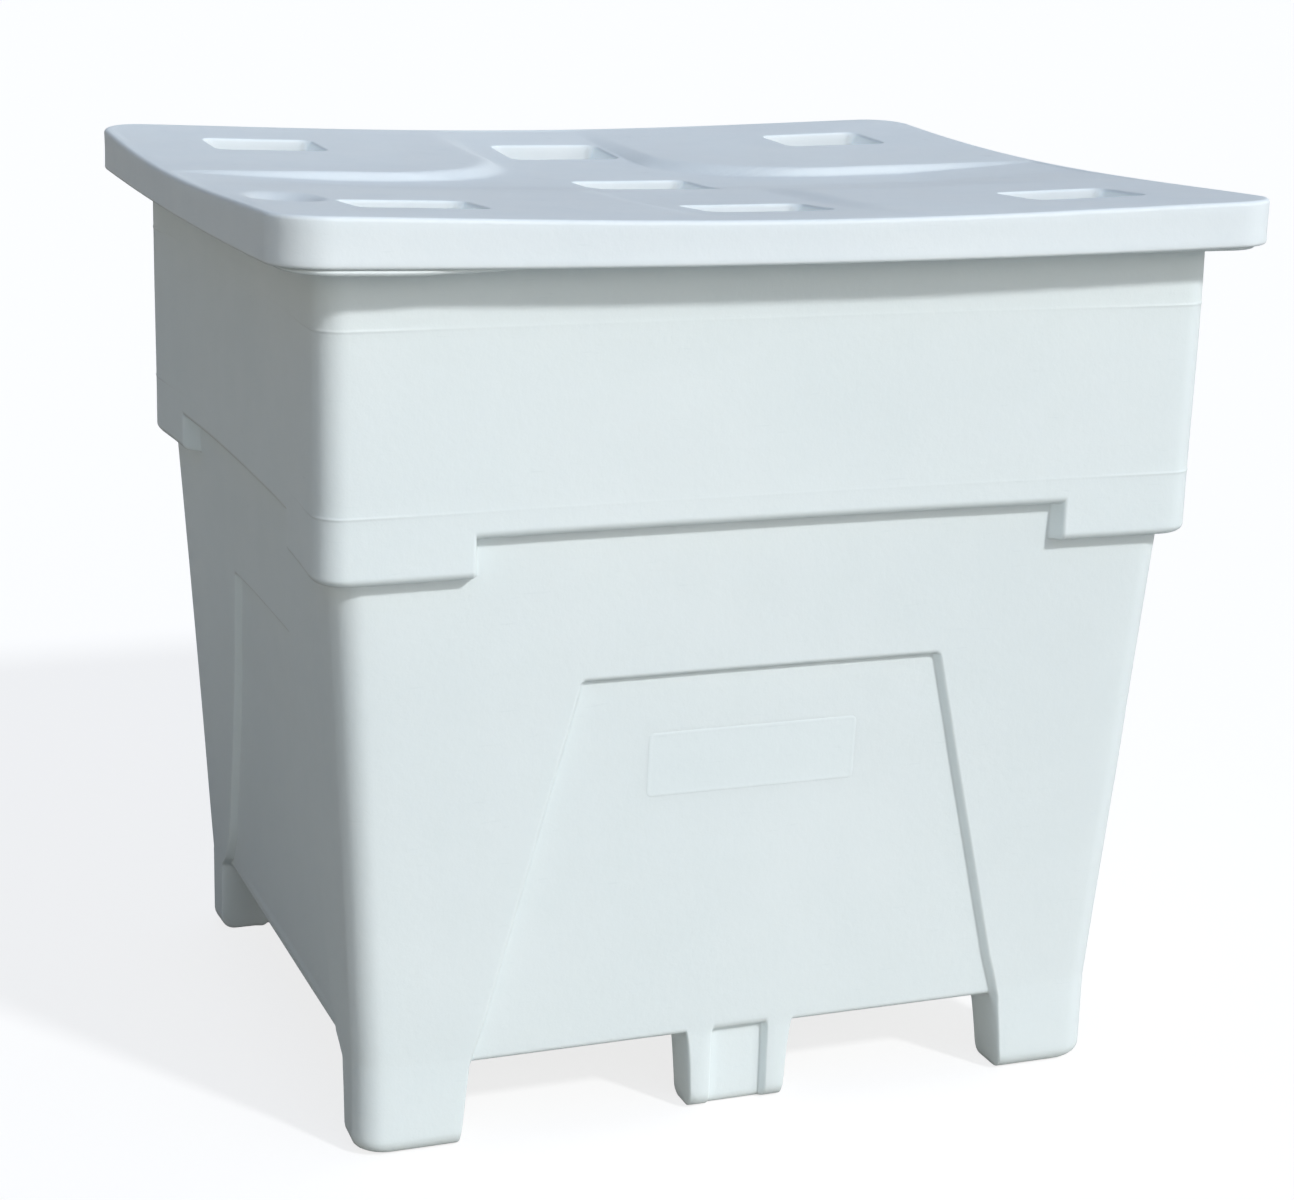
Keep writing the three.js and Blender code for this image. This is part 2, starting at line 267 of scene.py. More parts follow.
def ledge(rise, full, radius):
    """Share of the way out at a rise above a ledge's underside, which is `full` wide.

    It is nearly level, then rounds upwards by `radius`.
    """
    flat = (full - radius) / full
    u = np.clip((rise - 1.6) / radius, 0, 1)
    return np.where(rise < 1.6, flat * smooth(rise / 0.8 - 1),
                    flat + (1 - flat) * np.sqrt(np.clip(1 - (1 - u) ** 2, 0, 1)))


def wall_offset(z, across, run, inset):
    """Outward offset of the wall from the plain drafted body."""
    corner = smooth(across / 0.62)
    step = ledge(z - STEP_Z - inset + 2, 20.6, 11.0)
    tab = ledge(z - TAB_Z - inset + 2, 23.0, 11.0) * corner
    offset = np.maximum(step, tab) * (BAND_X - base_half(z))
    panel = (1 - corner) * (1 - ledge(z - PANEL_TOP - inset + 3, PANEL_IN, 6.5))
    offset = offset - panel * PANEL_IN
    offset = offset - np.where(is_corner, 0, bow(z, run, is_long))
    if inset == 0:
        # parting lines, clearest at the corners and fading along the sides
        share = np.where(is_corner, 1.0, side_share(run, is_long))
        for seam in SEAMS:
            offset = offset + (0.12 + 0.5 * share ** 8) * np.exp(-((z - seam) / 1.5) ** 2)
    return offset


def offset_at(z, inset):
    run, across = column_places(z, base_half(z), BODY_R, inset)
    return wall_offset(z, across, run, inset)


def wall_heights(inset):
    """Row heights from the rim down, closest where the wall turns sharply."""
    step, tab, panel = STEP_Z + inset, TAB_Z + inset, PANEL_TOP + inset
    heights = [140, 131, 124]
    for seam in SEAMS:
        heights += [seam + d for d in (3.4, 1.9, 0.8, 0, -0.8, -1.9, -3.4)]
    # from, to, spacing
    for top, bottom, spacing in (
            (1060, 1010, 14), (988, 812, 16), (787, step + 12, 6),
            (step + 10, step - 6.5, 1.15), (step - 9, tab + 12, 6),
            (tab + 10, tab - 6.5, 1.15), (tab - 9, panel + 9, 13),
            (panel + 6, panel - 6, 1.1), (panel - 10, 150, 15)):
        count = max(2, int(round(abs(bottom - top) / spacing)) + 1)
        heights += list(np.linspace(top, bottom, count))
    kept = []
    for z in sorted(heights, reverse=True):
        if not kept or kept[-1] - z > 0.55:
            kept.append(z)
    return kept


def wall_rows(inset):
    return [ring(base_half(z) + offset_at(z, inset) - inset, z, BODY_R + 1.0 - inset * 0.6, inset)
            for z in wall_heights(inset)]


# ------------------------------------------- container: legs, feet and floor
def resample(points, count):
    """`count` points along a polyline, evenly by length."""
    p = np.array(points, float)
    length = np.r_[0, np.cumsum(np.hypot(*np.diff(p, axis=0).T))]
    t = np.linspace(0, length[-1], count)
    return np.column_stack([np.interp(t, length, p[:, 0]), np.interp(t, length, p[:, 1])])


def join_section(parts):
    """Resample three joined polylines to the section's row counts."""
    rows = [resample(part, count + 1) for part, count in zip(parts, SECTION_COUNTS)]
    return np.vstack([rows[0], rows[1][1:], rows[2][1:]])


def bottom_sections(inset, depth):
    """Sections of plain floor, leg and recessed foot under a wall set in by `depth`.

    Points are (distance in from the body's side, height), from SECTION_TOP to SECTION_END.
    """
    floor_z, ground_z = FLOOR_Z + inset, inset
    face, inner = depth + inset, LEG_ARM - inset
    edge_r, outer_r, inner_r = (7.0, 21.0, 12.0) if inset == 0 else (5.0, 14.0, 8.0)
    root_r = 5.0

    floor = join_section([
        [(face, SECTION_TOP), (face, floor_z + edge_r)]
        + arc(face + edge_r, floor_z + edge_r, edge_r, 180, 270, 9)[1:] + [(face + 22, floor_z)],
        [(face + 22, floor_z), (52, floor_z)],
        [(52, floor_z), (SECTION_END, floor_z)]])

    # the inner face is shared by the leg and the recessed foot
    turn_x, turn_z = inner - inner_r - 6, ground_z + inner_r
    to_inner = [(turn_x, ground_z)] + arc(turn_x, turn_z, inner_r, 270, 315, 5)[1:]
    inner_face = arc(turn_x, turn_z, inner_r, 315, 360, 5) + [(inner, floor_z - root_r)] \
        + arc(inner + root_r, floor_z - root_r, root_r, 180, 90, 6)[1:] + [(SECTION_END, floor_z)]

    leg_face = face - (LEG_OUT if depth == 0 else 0.0)
    leg = join_section([
        [(face, SECTION_TOP), (face, floor_z + 9), (leg_face, floor_z + 4),
         (leg_face, ground_z + outer_r)]
        + arc(leg_face + outer_r, ground_z + outer_r, outer_r, 180, 225, 5)[1:],
        arc(leg_face + outer_r, ground_z + outer_r, outer_r, 225, 270, 5) + to_inner,
        inner_face])

    # between a foot's ribs the floor runs in to the recessed face first
    back = face + FOOT_RECESS
    recess = join_section([
        [(face, SECTION_TOP), (face, floor_z + edge_r)]
        + arc(face + edge_r, floor_z + edge_r, edge_r, 180, 270, 7)[1:] + [(back - 4, floor_z)]
        + arc(back - 4, floor_z - 4, 4, 90, 0, 4)[1:] + [(back, ground_z + 10)]
        + arc(back + 10, ground_z + 10, 10, 180, 225, 4)[1:],
        arc(back + 10, ground_z + 10, 10, 225, 270, 4) + to_inner,
        inner_face])
    return floor, leg, recess


def bottom_rows(inset):
    """Rows from the wall down over legs, feet and floor, outer side to inner side."""
    _, across = column_places(SECTION_TOP, base_half(SECTION_TOP), BODY_R, inset)
    leg_weight = smooth(across / 0.9)
    # share of the way from the flush sections to those under a sunk panel
    sunk = np.clip(-offset_at(SECTION_TOP, inset) / PANEL_IN, 0, 1.2)
    pairs = list(zip(bottom_sections(inset, 0.0), bottom_sections(inset, PANEL_IN)))
    rows = []
    for i in range(sum(SECTION_COUNTS) + 1):
        floor, leg, recess = [flush[i][:, None] + (deep[i] - flush[i])[:, None] * sunk
                              for flush, deep in pairs]
        foot = leg + (recess - leg) * recess_weight
        distance, z = floor + (leg - floor) * leg_weight + (foot - floor) * foot_weight
        radius = np.maximum(BODY_R + 1 - inset * 0.6 - np.maximum(distance - 8, 0) * 0.5, 3.5)
        rows.append(ring(base_half(z) - distance, z, radius, inset))
    return rows


def floor_rows(inset):
    """Rows from SECTION_END in to the middle of the floor and down over the central foot."""
    floor_z = FLOOR_Z + inset
    start = ring(base_half(floor_z) - SECTION_END, floor_z, 3.5, inset)
    angle = np.arctan2(start[:, 1], start[:, 0])
    direction = np.column_stack([np.cos(angle), np.sin(angle)])
    direction = direction / np.abs(direction).max(axis=1)[:, None]

    def rounded_square(half, radius, z):
        square = direction * half
        core = np.clip(square, -(half - radius), half - radius)
        outward = square - core
        outward = outward / np.hypot(outward[:, 0], outward[:, 1])[:, None] * radius
        return np.column_stack([core + outward, np.full(COUNT, z)])

    half = 67.0 - inset            # the central foot's half size at the floor
    surround = rounded_square(half + 12, 16, floor_z)
    rows = [start * (1 - t) + surround * t for t in np.linspace(0, 1, 8)[1:-1]]
    # half size, height
    profile = [(half + 12, floor_z), (half + 5, floor_z), (half + 2, floor_z - 0.9),
               (half + 0.6, floor_z - 3)]
    profile += [(half - 0.3 - 4.5 * t, floor_z - 6 + (inset + 12 - floor_z + 6) * t)
                for t in np.linspace(0, 1, 8)[1:]]
    profile += arc(half - 4.8 - 11, inset + 12, 11, 0, -90, 7)[1:]
    profile += [(half - 26, inset), (half - 42, inset)]
    rows += [rounded_square(h, min(14.0, h * 0.3), z) for h, z in profile]
    return rows


# ------------------------------------------------------------ container: rim
# outward push of each row round the lip's lower edge, as a share of the whole bulge
LIP_PUSH = (0, 1, 1, 0.97, 0.85, 0.6, 0.3, 0.1, 0, 0)
LIP_BULGE = 9.0


def skirt_low(x, y, corner_z):
    """Height of the skirt's lower edge, which sags between the corners."""
    u = 1 - np.clip(x / LID_X, -1, 1) ** 2
    w = 1 - np.clip(y / LID_Y, -1, 1) ** 2
    return corner_z - 8.0 * u * (1 - 0.9 * w) - 8.0 * w * (1 - 0.9 * u)


def rim_rows():
    """From the inner wall up over the rim, down the lip, up the groove and onto the outer wall."""
    # half size in x, height
    profile = [(543.4, 1075), (543.2, 1088)]
    profile += arc(BAND_X, RIM_TOP - SKIN, SKIN, 180, 90, 8)
    profile += [(562, RIM_TOP), (575, RIM_TOP), (584, RIM_TOP)]
    profile += arc(RIM_X - 10, RIM_TOP - 10, 10, 90, 0, 8)
    profile += [(RIM_X, 1088), (RIM_X, LIP_Z + 8)]
    lip_start = len(profile)
    profile += arc(RIM_X - 4, LIP_Z + 4, 4, 0, -180, len(LIP_PUSH))
    profile += [(RIM_X - SKIN, 1083), (RIM_X - SKIN, RIM_TOP - 15)]
    profile += arc(RIM_X - 14, RIM_TOP - 14, 6, 0, 90, 6)
    profile += [(572, RIM_TOP - SKIN), (560, RIM_TOP - SKIN)]
    profile += arc(BAND_X + 6, RIM_TOP - 14, 6, 90, 180, 6)
    profile += [(BAND_X, 1080), (BAND_X, 1070)]

    # round the front left corner the lip bulges out and follows the lid's skirt
    run, _ = column_places(LIP_Z, RIM_X, RIM_R, 0.0)
    share = np.select([(side == FRONT) & ~is_corner, (side == LEFT) & is_corner],
                      [smooth((-run - 390) / 110), smooth(value / 45 - 1)], 0.0)
    bulged = ring(RIM_X + LIP_BULGE, LIP_Z, RIM_R + LIP_BULGE)
    skirt = skirt_low(bulged[:, 0], bulged[:, 1], 1079.3)
    top = LIP_Z + 4
    rows = []
    for i, (half, z) in enumerate(profile):
        radius = np.interp(half, [543, 551, 598], [29, 34, RIM_R])
        if 0 <= i - lip_start < len(LIP_PUSH):
            push = LIP_BULGE * share * LIP_PUSH[i - lip_start]
            z = z + share * ((z - top) * 1.1 + skirt - top + 1.0)
            rows.append(ring(half + push, z, radius + push))
        else:
            rows.append(ring(half, z, radius))
    return rows


def build_container():
    """Rows run up the inside, over the rim and down the outside, closed by two centre points."""
    inner = wall_rows(SKIN) + bottom_rows(SKIN) + floor_rows(SKIN)
    outer = wall_rows(0.0) + bottom_rows(0.0) + floor_rows(0.0)
    rows = inner[::-1] + rim_rows() + outer
    points = np.vstack(rows + [[(0, 0, SKIN), (0, 0, 0)]])
    faces = []
    for i in range(len(rows) - 1):
        near, far = i * COUNT, (i + 1) * COUNT
        faces += faces_from(near + next_ids, near + column_ids, far + column_ids, far + next_ids)
    inner_centre = len(rows) * COUNT
    last = inner_centre - COUNT
    faces += faces_from(inner_centre, column_ids, next_ids)
    faces += faces_from(inner_centre + 1, last + next_ids, last + column_ids)
    # the unevenness is kept off the ground faces and the rim
    amount = np.interp(points[:, 2], [0, 60, 160, 1040, 1075], [0, 0.2, 1, 1, 0])
    distance = np.maximum(np.linalg.norm(points[:, :2], axis=1), 1)
    outward = points[:, :2] / distance[:, None]
    points[:, :2] += outward * (wall_noise(points) * amount)[:, None]
    return points, faces


# -------------------------------------------------------------------- plaque
PLAQUE_X, PLAQUE_Z = (-140.0, 130.0), (424.0, 505.0)
PLAQUE_R = 7.0
# outward growth of the outline, height above the panel
PLAQUE_LEVELS = [(0.6, -2.0), (0.4, -0.12), (-0.4, 0.09), (-1.4, 0.22),
                 (-2.6, 0.27), (-3.8, 0.24), (-5.0, 0.19), (-6.6, 0.18)]


def plaque_outline(grow):
    """A rounded rectangle about the plaque's centre, anticlockwise from its lower left."""
    half_x = (PLAQUE_X[1] - PLAQUE_X[0]) / 2 + grow
    half_z = (PLAQUE_Z[1] - PLAQUE_Z[0]) / 2 + grow
    radius = PLAQUE_R + grow
    core_x, core_z = half_x - radius, half_z - radius
    points = []
    # each edge's start and end, the centre of the corner after it, and its point count
    edges = (((-core_x, -half_z), (core_x, -half_z), (core_x, -core_z), 14),
             ((half_x, -core_z), (half_x, core_z), (core_x, core_z), 5),
             ((core_x, half_z), (-core_x, half_z), (-core_x, core_z), 14),
             ((-half_x, core_z), (-half_x, -core_z), (-core_x, -core_z), 5))
    for i, (a, b, centre, count) in enumerate(edges):
        points += [(a[0] + (b[0] - a[0]) * t, a[1] + (b[1] - a[1]) * t)
                   for t in np.linspace(0, 1, count)]
        points += arc(*centre, radius, 90 * i - 90, 90 * i, 7)[1:-1]
    return np.array(points)


def panel_face(x, z):
    """Half depth of the front panel's face, with the wall's bow and unevenness."""
    half = base_half(z) - X_LESS_Y - PANEL_IN - bow(z, x, True)
    uneven = wall_noise(np.column_stack([x, -half, z]))
    return half + half / np.hypot(x, half) * uneven


def build_plaque():
    """A blank, slightly proud plate with a rounded outline lying on the front panel."""
    rings = [(plaque_outline(grow), lift) for grow, lift in PLAQUE_LEVELS]
    flat, flat_lift = rings[-1]
    rings += [(flat * t, flat_lift) for t in (0.7, 0.35)]
    row_count, size = len(rings), len(flat)
    # centre points of the front and of the back
    rings += [(np.zeros((1, 2)), flat_lift), (np.zeros((1, 2)), -2.0)]
    points = []
    for outline, lift in rings:
        x = outline[:, 0] + sum(PLAQUE_X) / 2
        z = outline[:, 1] + sum(PLAQUE_Z) / 2
        points.append(np.column_stack([x, -panel_face(x, z) - lift, z]))
    ids = np.arange(size)
    following = (ids + 1) % size
    faces = []
    for i in range(row_count - 1):
        near, far = i * size, (i + 1) * size
        faces += faces_from(near + ids, near + following, far + following, far + ids)
    last, front_centre = (row_count - 1) * size, row_count * size
    for pair in zip(faces_from(last + ids, last + following, front_centre),
                    faces_from(following, ids, front_centre + 1)):
        faces += pair
    return np.vstack(points), faces


# ----------------------------------------------------------------------- lid
# centre x, y and half size x, y at the rim of each foot well
WELLS = [(0, 0, 79, 73), (0, 361, 79, 57), (0, -361, 79, 57),
         (414, 361, 76, 57), (414, -361, 76, 57), (-414, 361, 76, 57), (-414, -361, 76, 57)]
# a well's section: distance in from its rim line, depth
WELL_IN, WELL_DEPTH = np.array([
    (-2.0, 0), (-0.8, 0.25), (0.3, 1.0), (1.2, 2.3), (2.0, 4.2),
    (9.5, 29.0), (10.6, 31.8), (12.2, 33.5), (14.5, 34.0)]).T
# grid lines round a well's rim line, outwards positive
WELL_LINES = (-18, -14.5, -12.2, -10.6, -9.5, -7.6, -5.7, -3.9, -2, -1.2, -0.3, 0.8, 2, 4, 7)


def lid_dish(x, y):
    """Height of the lid's overall curve, a polynomial in the shares of its half sizes."""
    u, v = x / LID_X, y / LID_Y
    return (1109.5 + 16.28 * u ** 2 - 6.72 * u ** 4
            - 4.79 * v + 15.86 * v ** 2 + 5.9 * v ** 3 - 3.33 * v ** 4
            + 0.18 * u ** 2 * v + 4.26 * u ** 2 * v ** 2 + 0.66 * u * v)


def corner_distance(x, y, radius):
    """Signed distance outside a corner of `radius`, with x and y measured from its centre."""
    return np.hypot(np.maximum(x, 0), np.maximum(y, 0)) + np.minimum(np.maximum(x, y), 0) - radius


def lid_channel(x, y, grow):
    """Depth of the channel between the raised pads, widened by `grow`."""
    u = np.clip(1 - (x / LID_X) ** 2, 0, 1)
    w = np.clip(1 - (y / LID_Y) ** 2, 0, 1)
    # the back pads are quarter regions with a rounded inner corner
    pad_r = 190
    outside = corner_distance(np.where(x > 0, 103, 140) + pad_r - np.abs(x), 80 + pad_r - y,
                              pad_r) + grow
    back = smooth((outside - 11) / 11)
    # the front pads end in a crest, and the channel slopes away behind it
    ramp = np.clip((y + 186 + 0.06 * x + grow) / 175, 0, 1)
    ramp = np.where(ramp < 0.08, ramp ** 2 / 0.16, ramp - 0.04)
    between = smooth((122 - np.abs(x) + grow) / 9)
    front = np.maximum(np.minimum(ramp * 1.04, 1), between * 0.5)
    depth = 10.5 * np.minimum(1, 1.7 * u) * np.minimum(1, 1.35 * w) ** 1.2
    return depth * np.minimum(back, front)


def lid_wells(x, y, grow):
    """Depth of the foot wells: a small rounded rim, a steep tapered wall, a rounded foot."""
    total = np.zeros_like(x)
    radius = 18 + grow
    for centre_x, centre_y, half_x, half_y in WELLS:
        outside = corner_distance(np.abs(x - centre_x) - (half_x + grow - radius),
                                  np.abs(y - centre_y) - (half_y + grow - radius), radius)
        total = np.maximum(total, np.interp(-outside, WELL_IN, WELL_DEPTH))
    return total


def lid_dent(x, y):
    """Depth of a shallow oval dent near the left edge."""
    share = np.hypot((x + 538) / 48, (y + 272) / 84)
    return 8.0 * (1 - smooth((share - 0.74) / 0.22))


def lid_top(x, y):
    z = lid_dish(x, y) - lid_channel(x, y, 0.0) - lid_wells(x, y, 0.0) - lid_dent(x, y)
    flat = np.column_stack([x.ravel(), y.ravel(), np.zeros(x.size)])
    return z + (noise(flat, 170, 5) * 0.8 + noise(flat, 70, 6) * 0.3).reshape(x.shape)


def lid_underside(x, y):
    return lid_dish(x, y) - SKIN - lid_channel(x, y, 4.0) - lid_wells(x, y, 8.5) - lid_dent(x, y)


def lid_lines(wells, inner):
    """Grid lines in one direction: close at the wells, evenly spaced elsewhere and at the ends."""
    marks = {round(centre + s * half + s * d, 3)
             for centre, half in wells for s in (-1, 1) for d in WELL_LINES}
    kept = sorted(m for m in marks if abs(m) < inner - 1)
    for line in np.linspace(-inner, inner, 2 * int(inner / 11) + 1):
        if all(abs(line - k) > 4.5 for k in kept) or abs(abs(line) - inner) < 1e-6:
            kept.append(line)
    kept = sorted({round(k, 4) for k in kept})
    edge = np.linspace(0, 1, 9)[1:] * LID_CORNER
    return np.array([-(inner + d) for d in edge[::-1]] + kept + [inner + d for d in edge])


def lid_grid():
    """A rectilinear grid whose four corner blocks are bent to the plan's rounded corners."""
    inner_x = LID_X - LID_EDGE - LID_CORNER
    inner_y = LID_Y - LID_EDGE - LID_CORNER
    x, y = np.meshgrid(lid_lines({(w[0], w[2]) for w in WELLS}, inner_x),
                       lid_lines({(w[1], w[3]) for w in WELLS}, inner_y), indexing="ij")
    size_x, size_y = np.abs(x), np.abs(y)
    u = np.clip((size_x - inner_x) / LID_CORNER, 0, 1)
    v = np.clip((size_y - inner_y) / LID_CORNER, 0, 1)
    bent_u = u * np.sqrt(1 - v * v / 2) * LID_CORNER
    bent_v = v * np.sqrt(1 - u * u / 2) * LID_CORNER
    return (np.sign(x) * (np.minimum(size_x, inner_x) + bent_u),
            np.sign(y) * (np.minimum(size_y, inner_y) + bent_v))


def build_lid():
    """The top grid, loops over the edge and down the skirt and back up inside, the under grid."""
    x, y = lid_grid()
    nx, ny = x.shape
    top = np.column_stack([x.ravel(), y.ravel(), lid_top(x, y).ravel()])
    under = np.column_stack([x.ravel(), y.ravel(), lid_underside(x, y).ravel()])
    # the grid's perimeter, anticlockwise from above
    perimeter = [(i, 0) for i in range(nx)] + [(nx - 1, j) for j in range(1, ny)] \
        + [(i, ny - 1) for i in range(nx - 2, -1, -1)] + [(0, j) for j in range(ny - 2, 0, -1)]
    border = np.array([i * ny + j for i, j in perimeter])
    plan = top[border][:, :2]
    limit = np.array([LID_X - LID_R, LID_Y - LID_R])
    outward = plan - np.clip(plan, -limit, limit)
    outward = outward / np.linalg.norm(outward, axis=1)[:, None]
    rim = plan + outward * LID_EDGE
    low = skirt_low(rim[:, 0], rim[:, 1], 1079.5)

    loops = []

    def add_loop(offset, z):
        loops.append(np.column_stack([plan + outward * offset, z]))

    # over the shoulder: distance out from the grid, drop below the dish
    top_r = 5.5
    shoulder = [(2.0, 0), (4.0, 0)]
    shoulder += [(LID_EDGE - top_r + top_r * math.sin(a), top_r * (1 - math.cos(a)))
                 for a in np.radians([0, 14, 28, 42, 56, 68, 80, 90])]
    for offset, drop in shoulder:
        q = plan + outward * offset
        add_loop(offset, lid_dish(q[:, 0], q[:, 1]) - drop)
    # down the skirt, slightly hollow
    shoulder_z = loops[-1][:, 2]
    low_r = 4.0
    for t in (0.2, 0.45, 0.7, 0.9):
        add_loop(LID_EDGE - 0.4 * math.sin(t * math.pi),
                 shoulder_z + (low + low_r - shoulder_z) * t)
    # round the skirt's lower edge
    for a in np.radians([0, -25, -50, -75, -90, -105, -130, -155, -180]):
        add_loop(LID_EDGE - low_r + low_r * math.cos(a), low + low_r + low_r * math.sin(a))
    # up the inside of the skirt to the underside
    inside = LID_EDGE - SKIN
    ceiling = under[border][:, 2]
    for t in (0.3, 0.65):
        add_loop(inside, (low + low_r) + (ceiling - 6 - low - low_r) * t)
    for a in np.radians([0, 25, 50, 70]):
        add_loop(inside - 5 + 5 * math.cos(a), ceiling - 5 + 5 * math.sin(a))

    points = np.vstack([top] + loops + [under])
    well_marks = np.zeros(len(points))
    well_marks[:len(top)] = np.clip(lid_wells(x, y, 0.0).ravel() / 5, 0, 1)

    i, j = np.meshgrid(np.arange(nx - 1), np.arange(ny - 1), indexing="ij")
    a = (i * ny + j).ravel()
    size = len(border)
    under_start = len(top) + len(loops) * size
    b = under_start + a
    faces = faces_from(a, a + ny, a + ny + 1, a + 1)
    faces += faces_from(b, b + 1, b + ny + 1, b + ny)
    rings = [border] + [len(top) + k * size + np.arange(size) for k in range(len(loops))] \
        + [under_start + border]
    following = (np.arange(size) + 1) % size
    for near, far in zip(rings, rings[1:]):
        faces += faces_from(near, far, far[following], near[following])
    return points, faces, well_marks


# -------------------------------------------------------------- shader nodes
def node(tree, node_type, inputs=None, **settings):
    """A new node. `inputs` maps a socket's name or index to a value or to a socket to link."""
    new = tree.nodes.new(node_type)
    for name, setting in settings.items():
        setattr(new, name, setting)
    for key, source in (inputs or {}).items():
        if isinstance(source, bpy.types.NodeSocket):
            tree.links.new(source, new.inputs[key])
        else:
            new.inputs[key].default_value = source
    return new


def math_node(tree, operation, *values):
    return node(tree, "ShaderNodeMath", dict(enumerate(values)), operation=operation).outputs[0]


def map_range(tree, source, start, end, to_min=0.0, to_max=1.0, interpolation="LINEAR"):
    return node(tree, "ShaderNodeMapRange",
                {"From Min": start, "From Max": end, "To Min": to_min, "To Max": to_max,
                 "Value": source}, interpolation_type=interpolation).outputs[0]


def mix_colour(tree, factor, first, second, blend="MIX"):
    """Mix two colours, each an RGB tuple or a socket."""
    first, second = [(*c, 1) if isinstance(c, tuple) else c for c in (first, second)]
    return node(tree, "ShaderNodeMix", {0: factor, 6: first, 7: second},
                data_type="RGBA", blend_type=blend).outputs[2]


def mix_shader(tree, factor, first, second):
    return node(tree, "ShaderNodeMixShader", {0: factor, 1: first, 2: second}).outputs[0]


def split_rays(tree, camera_shader, other_shader):
    """What the camera sees directly against what lights and reflections see."""
    rays = node(tree, "ShaderNodeLightPath")
    return mix_shader(tree, rays.outputs["Is Camera Ray"], other_shader, camera_shader)


def colour_ramp(tree, factor, start, start_colour, end, end_colour):
    ramp = node(tree, "ShaderNodeValToRGB", {0: factor})
    first, last = ramp.color_ramp.elements
    first.position, last.position = start, end
    first.color, last.color = (*start_colour, 1), (*end_colour, 1)
    return ramp.outputs[0]


def noise_texture(tree, vector, scale, detail=2.0, roughness=0.5, distortion=0.0):
    return node(tree, "ShaderNodeTexNoise",
                {"Scale": scale, "Detail": detail, "Roughness": roughness,
                 "Distortion": distortion, "Vector": vector}).outputs[0]


# ----------------------------------------------------------------- materials
WHITE = (1, 1, 1)


def plastic(name, base, dark, warm, subsurface=0.22, specular=0.38, wells=False, painted_end_light=0.0):
    """Translucent plastic: `dark` and `base` drift over it and `warm` tints it in patches.

    `wells` adds painted shade to the front-turned faces of the lid's wells and painted light to
    their left-turned ones.
    The end-light strength adds painted light, an emission glow, to the small end faces that are
    turned left along the front side. Faces turned down get painted shade.
    """
    material = bpy.data.materials.new(name)
    material.use_nodes = True
    tree = material.node_tree
    tree.nodes.clear()
    output = node(tree, "ShaderNodeOutputMaterial")
    shader = node(tree, "ShaderNodeBsdfPrincipled", {
        "IOR": 1.5, "Specular IOR Level": specular, "Subsurface Weight": subsurface,
        "Subsurface Radius": (1.0, 1.05, 1.1), "Subsurface Scale": 0.012})
    tree.links.new(shader.outputs[0], output.inputs[0])
    coords = node(tree, "ShaderNodeTexCoord").outputs["Object"]
    place = node(tree, "ShaderNodeMapping", {0: coords}).outputs[0]

    def set_input(key, socket):
        tree.links.new(socket, shader.inputs[key])

    # colour: a broad drift, smaller patches and faint stretched streaks
    broad = noise_texture(tree, place, 2.6, detail=3.0, roughness=0.55, distortion=0.3)
    patches = noise_texture(tree, place, 14, detail=4.0, roughness=0.6)
    fine = noise_texture(tree, place, 420)
    drift = colour_ramp(tree, broad, 0.3, dark, 0.72, base)
    tint = colour_ramp(tree, patches, 0.42, WHITE, 0.75, warm)
    colour = mix_colour(tree, 1.0, drift, tint, "MULTIPLY")
    stretched = node(tree, "ShaderNodeMapping", {
        "Scale": (3.0, 3.0, 34.0), "Rotation": (0.2, 0.35, 0.1), 0: coords}).outputs[0]
    streaks = colour_ramp(tree, noise_texture(tree, stretched, 9.0, detail=6.0),
                          0.66, WHITE, 0.74, (0.965, 0.97, 0.972))
    colour = mix_colour(tree, 1.0, colour, streaks, "MULTIPLY")

    geometry = node(tree, "ShaderNodeNewGeometry")
    normal = node(tree, "ShaderNodeSeparateXYZ", {0: geometry.outputs["Normal"]})

    def facing(axis, start, end):
        return map_range(tree, normal.outputs[axis], start, end)

    # painted shade: faces turned down are darkened in colour, less so where they also turn to the
    # front
    lit = math_node(tree, "MULTIPLY_ADD", facing(1, -0.1, -0.55), -0.8, 1.0)
    underside_shade = math_node(tree, "MULTIPLY", facing(2, -0.06, -0.55), lit)
    colour = mix_colour(tree, underside_shade, colour, (0.66, 0.65, 0.63), "MULTIPLY")
    if wells:
        # painted shade darkens the wells' faces turned to the front, and painted light (an emission
        # glow) brightens those turned left
        mark = node(tree, "ShaderNodeAttribute", attribute_name="well").outputs["Fac"]
        well_shade_mask = math_node(tree, "MULTIPLY", facing(1, -0.3, -0.8), mark)
        colour = mix_colour(tree, well_shade_mask, colour, (0.80, 0.78, 0.76), "MULTIPLY")
        well_light_mask = math_node(tree, "MULTIPLY", facing(0, -0.3, -0.8), mark)
        shader.inputs["Emission Color"].default_value = (0.80, 0.92, 1.0, 1)
        set_input("Emission Strength", math_node(tree, "MULTIPLY", well_light_mask, 0.20))
    if painted_end_light:
        # painted light: an emission glow on the small end faces turned left along the front side
        position = node(tree, "ShaderNodeSeparateXYZ", {0: geometry.outputs["Position"]})
        glow = facing(0, -0.3, -0.8)
        # axis, then where the glow starts and where it is full, in metres
        for axis, start, end in ((0, -0.40, -0.34), (0, 0.43, 0.40), (1, -0.24, -0.30)):
            within = map_range(tree, position.outputs[axis], start, end)
            glow = math_node(tree, "MULTIPLY", glow, within)
        shader.inputs["Emission Color"].default_value = (0.80, 0.90, 0.93, 1)
        set_input("Emission Strength", math_node(tree, "MULTIPLY", glow, painted_end_light))
    set_input("Base Color", colour)
    set_input("Roughness", map_range(tree, patches, 0.3, 0.7, to_min=0.45, to_max=0.57))

    # orange-peel skin
    grain = node(tree, "ShaderNodeBump", {"Strength": 0.10, "Distance": 0.0009, "Height": fine})
    peel = node(tree, "ShaderNodeBump", {
        "Strength": 0.16, "Distance": 0.0016, "Height": noise_texture(tree, place, 95),
        "Normal": grain.outputs[0]})
    set_input("Normal", peel.outputs[0])
    return material


